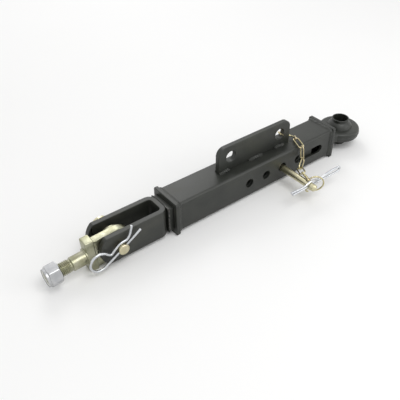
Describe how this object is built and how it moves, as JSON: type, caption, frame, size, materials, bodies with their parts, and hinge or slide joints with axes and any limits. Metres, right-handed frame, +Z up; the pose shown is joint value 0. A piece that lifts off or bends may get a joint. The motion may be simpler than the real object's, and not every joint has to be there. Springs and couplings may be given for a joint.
{
  "type": "lower link stabilizer",
  "caption": "Telescoping lower link stabilizer: square tube with sliding bar, clevis with knuckle stud, ball end, bracket and chained locking pin.",
  "frame": {"origin": "on the axis of the ball's bore, level with the tube's centre line", "axes": "+X along the link towards the ball end, +Z up along the ball's bore, -Y the side the locking pin enters from"},
  "size_m": [0.6014, 0.1335, 0.095],
  "materials": {
    "black_paint": "semi-gloss black paint over steel",
    "bare_weld": "bright weld bead with worn paint",
    "yellow_zinc": "zinc plate with a pale yellow passivate",
    "white_zinc": "bright zinc plate",
    "nylon": "natural nylon"
  },
  "bodies": {
    "tube": {"outer_tube": "black_paint", "clevis_end_plate": "black_paint", "ball_end_plate": "black_paint", "clevis_end_weld": "black_paint", "ball_end_weld": "black_paint", "bracket_plate": "black_paint", "bracket_welds": "black_paint", "ball_eye": "black_paint", "ball_eye_weld": "black_paint", "chain_hook": "yellow_zinc", "chain_link_1": "yellow_zinc"},
    "ball": {"swivel_ball": "black_paint"},
    "bar": {"inner_bar": "black_paint", "clevis_strap": "black_paint", "clevis_weld": "bare_weld"},
    "stud": {"knuckle_stud": "yellow_zinc"},
    "nut": {"lock_nut": "white_zinc", "nut_insert": "nylon"},
    "clevis_pin": {"clevis_pin": "yellow_zinc"},
    "clevis_clip": {"clevis_pin_clip": "white_zinc"},
    "locking_pin": {"locking_pin": "yellow_zinc"},
    "locking_clip": {"locking_pin_clip": "white_zinc"},
    "ring": {"pull_ring": "yellow_zinc"},
    "chain_upper": {"chain_link_2": "yellow_zinc", "chain_link_3": "yellow_zinc"},
    "chain_lower": {"chain_link_4": "yellow_zinc", "chain_swivel": "yellow_zinc"}
  },
  "joints": [
    {"name": "bar_slide", "type": "slide", "parent": "tube", "child": "bar", "axis": [-1, 0, 0], "range_m": [0, 0.105]},
    {"name": "stud_swing", "type": "hinge", "parent": "bar", "child": "stud", "pos_m": [-0.461, -0.0082, 0], "axis": [0, 1, 0], "range_deg": [-85, 85]},
    {"name": "nut_turn", "type": "hinge", "parent": "stud", "child": "nut", "pos_m": [-0.461, -0.0082, 0], "axis": [-0.9986, 0, -0.0523], "continuous": true},
    {"name": "clevis_pin_slide", "type": "slide", "parent": "bar", "child": "clevis_pin", "axis": [0, -1, 0], "range_m": [0, 0.009]},
    {"name": "clevis_clip_turn", "type": "hinge", "parent": "clevis_pin", "child": "clevis_clip", "pos_m": [-0.461, -0.027, 0], "axis": [0.8517, 0, 0.524], "range_deg": [-8, 16]},
    {"name": "ball_tilt", "type": "hinge", "parent": "tube", "child": "ball", "pos_m": [0, 0, -0.0035], "axis": [0, 1, 0], "range_deg": [-20, 20]},
    {"name": "locking_pin_slide", "type": "slide", "parent": "tube", "child": "locking_pin", "axis": [0, 1, 0], "range_m": [0, 0.0025]},
    {"name": "locking_clip_turn", "type": "hinge", "parent": "locking_pin", "child": "locking_clip", "pos_m": [-0.163, -0.085, -0.00175], "axis": [1, 0, 0], "range_deg": [0, 18]},
    {"name": "ring_swing", "type": "hinge", "parent": "locking_pin", "child": "ring", "pos_m": [-0.163, -0.0783, -0.00175], "axis": [0, 0, 1], "range_deg": [0, 12]},
    {"name": "chain_upper_swing", "type": "hinge", "parent": "tube", "child": "chain_upper", "pos_m": [-0.12931, -0.03107, 0.02727], "axis": [-0.4987, -0.4254, -0.7552], "range_deg": [-8, 8]},
    {"name": "chain_lower_swing", "type": "hinge", "parent": "locking_pin", "child": "chain_lower", "pos_m": [-0.14636, -0.04562, 0.00145], "axis": [-0.4064, -0.906, 0.1185], "range_deg": [-6.6, 3.3]}
  ]
}
